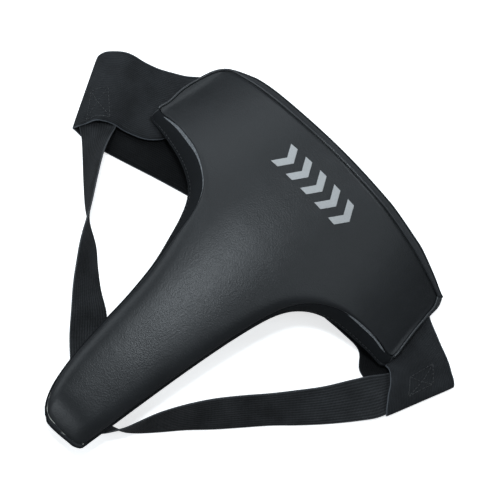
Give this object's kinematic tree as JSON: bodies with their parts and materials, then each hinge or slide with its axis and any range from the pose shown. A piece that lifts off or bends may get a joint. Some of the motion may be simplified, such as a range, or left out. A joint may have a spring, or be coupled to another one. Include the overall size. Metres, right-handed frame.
{
  "type": "groin protector",
  "caption": "Padded T-shaped groin guard with wings and a crotch strip, a wide elastic waistband loop and narrow elastic leg straps.",
  "frame": {"origin": "underside of the waistband at its back centre, where the loop lies on the table", "axes": "+Z out of the front of the pad, +Y towards the waist edge, +X across the pad towards the side with the longer straight leg strap"},
  "size_m": [0.3993, 0.3211, 0.0594],
  "materials": {
    "cover_leather": "satin synthetic leather",
    "gusset_leather": "satin synthetic leather",
    "lining_fabric": "matt knitted lining",
    "dense_foam": "closed-cell foam",
    "soft_foam": "open-cell foam",
    "belt_elastic": "woven elastic",
    "strap_elastic": "ribbed woven elastic",
    "print_ink": "printed light grey",
    "thread": "sewing thread"
  },
  "bodies": {
    "waist_back": {"waistband_back": "belt_elastic"},
    "waist_back_left": {"waistband_back_left": "belt_elastic"},
    "waist_front_left": {"waistband_front_left": "belt_elastic", "strap_tab_left": "strap_elastic", "box_stitch_left": "thread"},
    "pad": {"front_cover": "cover_leather", "front_mark": "print_ink", "waist_piping": "cover_leather", "waist_gusset": "gusset_leather", "leg_gusset_left": "gusset_leather", "leg_gusset_right": "gusset_leather", "edge_binding_left": "lining_fabric", "edge_binding_right": "lining_fabric", "back_lining": "lining_fabric", "shock_foam": "dense_foam", "comfort_foam": "soft_foam", "wing_hem_left": "gusset_leather", "wing_hem_right": "gusset_leather", "wing_tab_left": "belt_elastic", "wing_tab_right": "belt_elastic", "tip_patch": "lining_fabric"},
    "waist_front_right": {"waistband_front_right": "belt_elastic", "strap_tab_right": "strap_elastic", "box_stitch_right": "thread"},
    "waist_back_right": {"waistband_back_right": "belt_elastic"},
    "strap_left_upper": {"leg_strap_left_upper": "strap_elastic"},
    "strap_left_lower": {"leg_strap_left_lower": "strap_elastic"},
    "strap_right_upper": {"leg_strap_right_upper": "strap_elastic"},
    "strap_right_lower": {"leg_strap_right_lower": "strap_elastic"}
  },
  "joints": [
    {"name": "waist_open", "type": "hinge", "parent": "waist_back", "child": "waist_back_left", "pos_m": [-0.02165, -0.0125, 0.002], "axis": [-0.5, 0.866, 0], "range_deg": [0, 30]},
    {"name": "fold_left", "type": "hinge", "parent": "waist_back_left", "child": "waist_front_left", "pos_m": [-0.1915, -0.0445, 0.0035], "axis": [0.5, -0.866, 0], "range_deg": [0, 80.1]},
    {"name": "wing_left", "type": "hinge", "parent": "waist_front_left", "child": "pad", "pos_m": [-0.11215, -0.06475, 0.0052], "axis": [-0.5, 0.866, 0], "range_deg": [0, 50.1]},
    {"name": "wing_right", "type": "hinge", "parent": "pad", "child": "waist_front_right", "pos_m": [0.12921, -0.04703, 0.0052], "axis": [0.342, 0.9397, 0], "range_deg": [0, 67.8]},
    {"name": "fold_right", "type": "hinge", "parent": "waist_front_right", "child": "waist_back_right", "pos_m": [0.1825, -0.019, 0.0035], "axis": [-0.342, -0.9397, 0], "range_deg": [0, 102]},
    {"name": "strap_seam_left", "type": "hinge", "parent": "waist_front_left", "child": "strap_left_upper", "pos_m": [-0.152, -0.073, 0.006], "axis": [-0.6434, 0.7655, 0.0018], "range_deg": [0, 58.5]},
    {"name": "strap_bend_left", "type": "hinge", "parent": "strap_left_upper", "child": "strap_left_lower", "pos_m": [-0.118, -0.107, 0.015], "axis": [0.4815, -0.8686, -0.1173], "range_deg": [0, 6.3]},
    {"name": "strap_seam_right", "type": "hinge", "parent": "waist_front_right", "child": "strap_right_upper", "pos_m": [0.148, -0.052, 0.004], "axis": [-0.4784, -0.878, -0.0157], "range_deg": [0, 38.7]},
    {"name": "strap_bend_right", "type": "hinge", "parent": "strap_right_upper", "child": "strap_right_lower", "pos_m": [0.088, -0.139, 0.008], "axis": [0.5512, -0.8343, -0.0097], "range_deg": [0, 16.2]}
  ],
  "couplings": [
    {"joint": "fold_left", "follows": "waist_open", "ratio": 2.67},
    {"joint": "wing_left", "follows": "waist_open", "ratio": 1.67},
    {"joint": "wing_right", "follows": "waist_open", "ratio": 2.26},
    {"joint": "fold_right", "follows": "waist_open", "ratio": 3.4},
    {"joint": "strap_seam_left", "follows": "waist_open", "ratio": 1.95},
    {"joint": "strap_bend_left", "follows": "waist_open", "ratio": 0.21},
    {"joint": "strap_seam_right", "follows": "waist_open", "ratio": 1.29},
    {"joint": "strap_bend_right", "follows": "waist_open", "ratio": 0.54}
  ]
}
